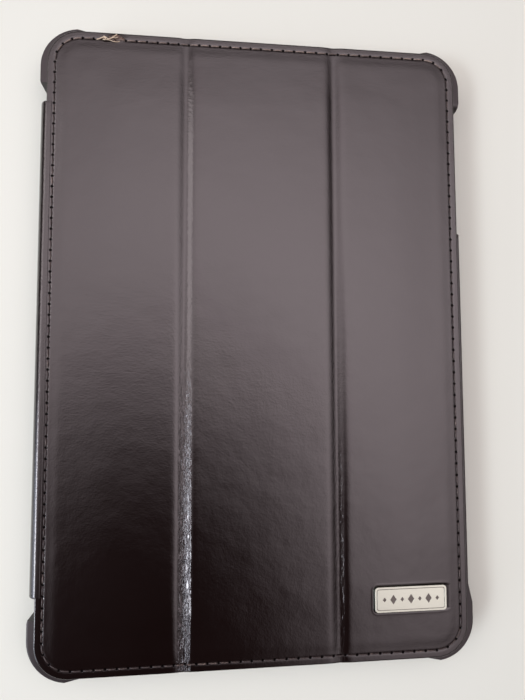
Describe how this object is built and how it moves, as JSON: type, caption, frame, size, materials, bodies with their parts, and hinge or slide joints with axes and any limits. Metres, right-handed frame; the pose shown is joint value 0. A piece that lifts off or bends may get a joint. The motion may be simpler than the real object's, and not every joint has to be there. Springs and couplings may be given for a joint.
{
  "type": "tablet case",
  "caption": "Trifold leather tablet case: moulded tray with corner cups, leather spine and a stitched cover of three stiffened panels with a small metal badge.",
  "frame": {"origin": "middle of the lowest face of the back, with the closed case lying on its back", "axes": "+X towards the cover's free side, +Y towards the top of the tablet, +Z out of the tablet's screen"},
  "size_m": [0.1412, 0.2056, 0.0138],
  "materials": {
    "outer_leather": "waxed dark brown leather, glossy with a fine grain",
    "lining_cloth": "short-napped microfibre, dark brown, matt",
    "stiffener": "calendered fibre board, grey",
    "moulded_shell": "moulded polycarbonate, dark brown, satin",
    "thread": "waxed twisted thread, very dark brown",
    "magnet": "nickel-plated magnet",
    "badge_metal": "finely brushed, satin",
    "washer_steel": "plain sheet steel"
  },
  "bodies": {
    "shell": {"back_shell": "moulded_shell", "back_leather": "outer_leather", "shell_lining": "lining_cloth"},
    "spine": {"spine_lower_bend": "outer_leather", "spine_leather": "outer_leather", "spine_board": "stiffener", "spine_lining": "lining_cloth", "spine_upper_bend": "outer_leather"},
    "left_panel": {"left_leather": "outer_leather", "left_board": "stiffener", "left_lining": "lining_cloth", "left_stitching": "thread", "stand_magnets": "magnet", "left_fold_roll": "outer_leather"},
    "middle_panel": {"middle_leather": "outer_leather", "middle_board": "stiffener", "middle_lining": "lining_cloth", "middle_stitching": "thread", "right_fold_roll": "outer_leather"},
    "right_panel": {"right_leather": "outer_leather", "right_board": "stiffener", "right_lining": "lining_cloth", "right_stitching": "thread", "closure_magnets": "magnet", "wake_magnet": "magnet", "badge_plate": "badge_metal", "badge_washer": "washer_steel"}
  },
  "joints": [
    {"name": "spine_hinge", "type": "hinge", "parent": "shell", "child": "spine", "pos_m": [-0.0693, 0, 0.0011], "axis": [0, -1, 0], "range_deg": [0, 180]},
    {"name": "cover_hinge", "type": "hinge", "parent": "spine", "child": "left_panel", "pos_m": [-0.0693, 0, 0.0123], "axis": [0, -1, 0], "range_deg": [0, 90]},
    {"name": "left_fold", "type": "hinge", "parent": "left_panel", "child": "middle_panel", "pos_m": [-0.0238, 0, 0.0117], "axis": [0, -1, 0], "range_deg": [0, 120]},
    {"name": "right_fold", "type": "hinge", "parent": "middle_panel", "child": "right_panel", "pos_m": [0.0252, 0, 0.0117], "axis": [0, -1, 0], "range_deg": [0, 120]}
  ]
}
